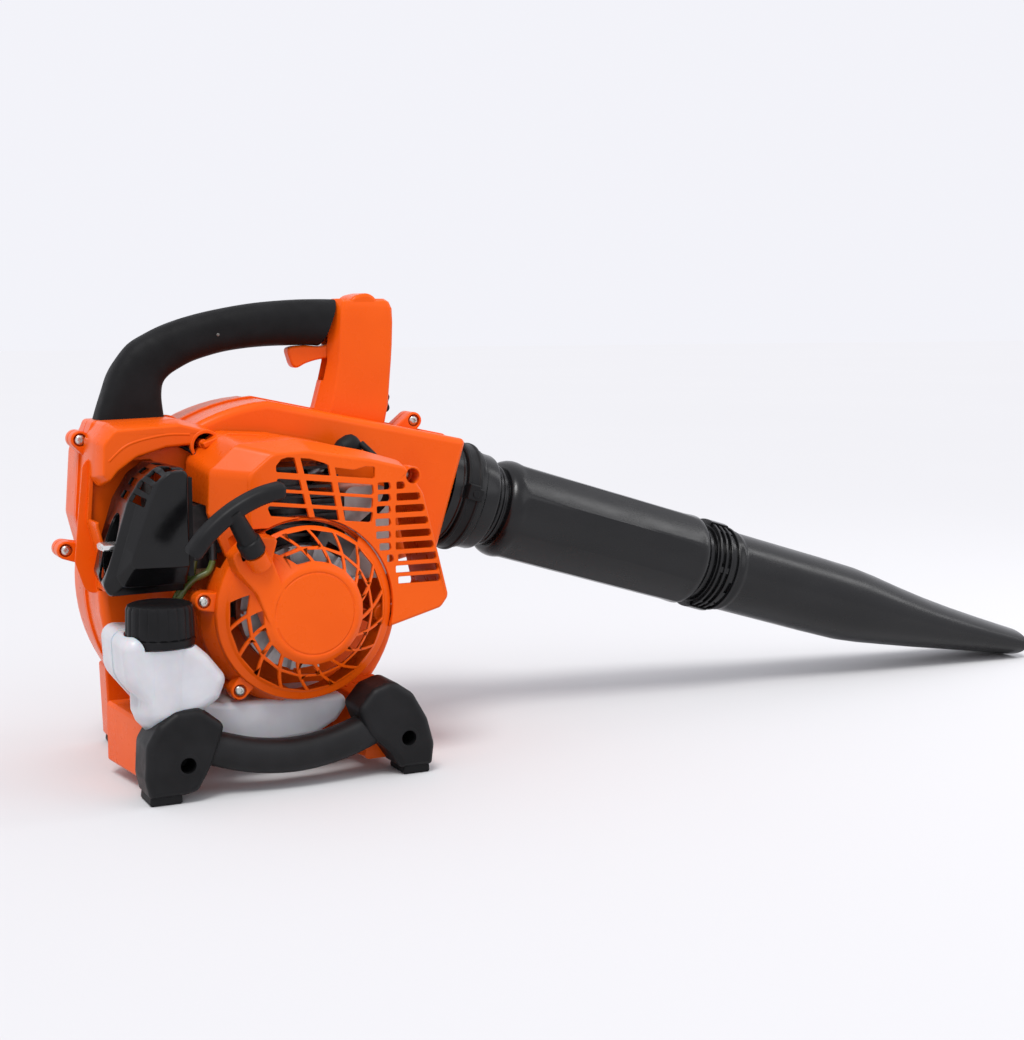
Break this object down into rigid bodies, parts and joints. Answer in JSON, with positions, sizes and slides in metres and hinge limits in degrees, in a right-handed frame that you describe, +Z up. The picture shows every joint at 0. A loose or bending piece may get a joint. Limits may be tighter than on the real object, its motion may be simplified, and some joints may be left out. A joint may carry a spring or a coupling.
{
  "type": "leaf blower",
  "caption": "Hand-held petrol leaf blower: orange fan case with engine, recoil starter, top handle, stand and a sloping black air tube with a flat nozzle.",
  "frame": {"origin": "bottom centre of the blower's box, on the floor that its foot pads and nozzle rest on", "axes": "+X the way the air blows, -Y the engine side, +Z up"},
  "size_m": [0.9534, 0.247, 0.3595],
  "materials": {
    "orange_plastic": "moulded, semi-gloss",
    "black_plastic": "moulded, satin",
    "tube_black": "blow moulded, satin",
    "gloss_black": "glossy",
    "soft_grip": "soft touch",
    "black_rubber": "matte",
    "clear_rubber": "translucent",
    "tank_plastic": "milky, translucent",
    "steel": "machined",
    "cast_aluminium": "die cast",
    "muffler_steel": "pressed sheet",
    "coil_steel": "laminated, varnished",
    "lever_metal": "bright",
    "filter_foam": "open foam",
    "rope": "braided cord",
    "fuel_hose": "translucent green"
  },
  "bodies": {
    "root": {"fan_case_engine_side": "orange_plastic", "fan_case_intake_side": "orange_plastic", "intake_grille": "black_plastic", "case_screws": "steel", "handle_shell_engine_side": "orange_plastic", "handle_shell_intake_side": "orange_plastic", "handle_grip": "soft_grip", "trigger_pin": "steel", "throttle_cable": "black_rubber", "crankcase": "cast_aluminium", "crank_bearings": "steel", "cylinder": "cast_aluminium", "cylinder_bolts": "steel", "spark_plug": "steel", "spark_plug_boot": "black_rubber", "ignition_coil": "coil_steel", "ignition_lead": "black_rubber", "muffler": "muffler_steel", "intake_insulator": "black_plastic", "carburettor": "cast_aluminium", "air_filter_base": "black_plastic", "air_filter_element": "filter_foam", "air_filter_cover": "gloss_black", "recoil_housing": "orange_plastic", "rope_guide": "black_plastic", "recoil_spring": "steel", "starter_rope": "rope", "engine_cover": "orange_plastic", "fuel_tank": "tank_plastic", "fuel_hoses": "fuel_hose", "stand_boots": "black_plastic", "stand_bar": "black_plastic", "foot_pads": "black_rubber", "tube_adapter": "black_plastic", "tube_clamp": "black_plastic", "neck_tube": "tube_black"},
    "rotor": {"crankshaft_front_half": "steel", "crankshaft_rear_half": "steel", "shaft_nuts": "steel", "flywheel": "cast_aluminium", "starter_cup": "steel", "fan_impeller": "black_plastic"},
    "piston_group": {"crank_pin": "steel", "connecting_rod": "steel", "gudgeon_pin": "steel", "piston": "cast_aluminium", "piston_rings": "steel"},
    "reel": {"starter_reel": "black_plastic", "rope_winding": "rope"},
    "pawl": {"starter_pawl": "steel"},
    "pull": {"starter_handle": "black_plastic"},
    "trigger": {"throttle_trigger": "orange_plastic"},
    "throttle": {"throttle_lever": "steel"},
    "switch": {"stop_switch": "black_plastic"},
    "choke": {"choke_lever": "lever_metal"},
    "primer": {"primer_bulb": "clear_rubber"},
    "seal": {"cap_seal": "black_rubber"},
    "cap": {"fuel_cap": "black_plastic"},
    "tube": {"main_tube": "tube_black"},
    "nozzle": {"nozzle": "tube_black"}
  },
  "joints": [
    {"name": "crankshaft_spin", "type": "hinge", "parent": "root", "child": "rotor", "pos_m": [-0.31966, -0.02749, 0.127], "axis": [0, 1, 0], "continuous": true},
    {"name": "piston_stroke", "type": "slide", "parent": "root", "child": "piston_group", "axis": [0, 0, 1], "range_m": [-0.028, 0]},
    {"name": "starter_pull", "type": "slide", "parent": "root", "child": "pull", "axis": [-0.5034, -0.3286, 0.7991], "range_m": [0, 0.6], "deforming": ["starter_rope"]},
    {"name": "reel_turn", "type": "hinge", "parent": "root", "child": "reel", "pos_m": [-0.31966, -0.09049, 0.127], "axis": [0, 1, 0], "range_deg": [0, 1358.4]},
    {"name": "pawl_swing", "type": "hinge", "parent": "reel", "child": "pawl", "pos_m": [-0.31016, -0.08249, 0.127], "axis": [0, 1, 0], "range_deg": [-12, 0], "stiffness_Nm_per_rad": 0.0005},
    {"name": "throttle_trigger_squeeze", "type": "hinge", "parent": "root", "child": "trigger", "pos_m": [-0.24366, 0.04351, 0.316], "axis": [0, 1, 0], "range_deg": [0, 12], "stiffness_Nm_per_rad": 0.15, "springref_deg": -20.05},
    {"name": "throttle_shaft_turn", "type": "hinge", "parent": "root", "child": "throttle", "pos_m": [-0.38166, -0.02349, 0.2], "axis": [0, 0, 1], "range_deg": [0, 72]},
    {"name": "stop_switch_rock", "type": "hinge", "parent": "root", "child": "switch", "pos_m": [-0.20866, 0.04351, 0.271], "axis": [0, 1, 0], "range_deg": [-9, 9]},
    {"name": "choke_lever_turn", "type": "hinge", "parent": "root", "child": "choke", "pos_m": [-0.42966, -0.03949, 0.177], "axis": [1, 0, 0], "range_deg": [0, 55]},
    {"name": "primer_press", "type": "slide", "parent": "root", "child": "primer", "axis": [0, 0, 1], "range_m": [0, 0.004], "stiffness_N_per_m": 300, "springref_m": -0.002},
    {"name": "cap_lift", "type": "slide", "parent": "root", "child": "seal", "axis": [0, 0, 1], "range_m": [0, 0.0036]},
    {"name": "cap_turn", "type": "hinge", "parent": "seal", "child": "cap", "pos_m": [-0.42966, -0.08349, 0.13], "axis": [0, 0, 1], "range_deg": [0, 432]},
    {"name": "main_tube_twist", "type": "hinge", "parent": "root", "child": "tube", "pos_m": [-0.09622, 0.04851, 0.17666], "axis": [0.9573, 0, -0.289], "range_deg": [0, 20]},
    {"name": "nozzle_twist", "type": "hinge", "parent": "tube", "child": "nozzle", "pos_m": [0.10482, 0.04851, 0.11596], "axis": [0.9573, 0, -0.289], "range_deg": [0, 30]}
  ],
  "couplings": [
    {"joint": "reel_turn", "follows": "starter_pull", "rad_per_m": 39.37},
    {"joint": "throttle_shaft_turn", "follows": "throttle_trigger_squeeze", "ratio": 6},
    {"joint": "cap_lift", "follows": "cap_turn", "m_per_rad": 0.00047746}
  ]
}
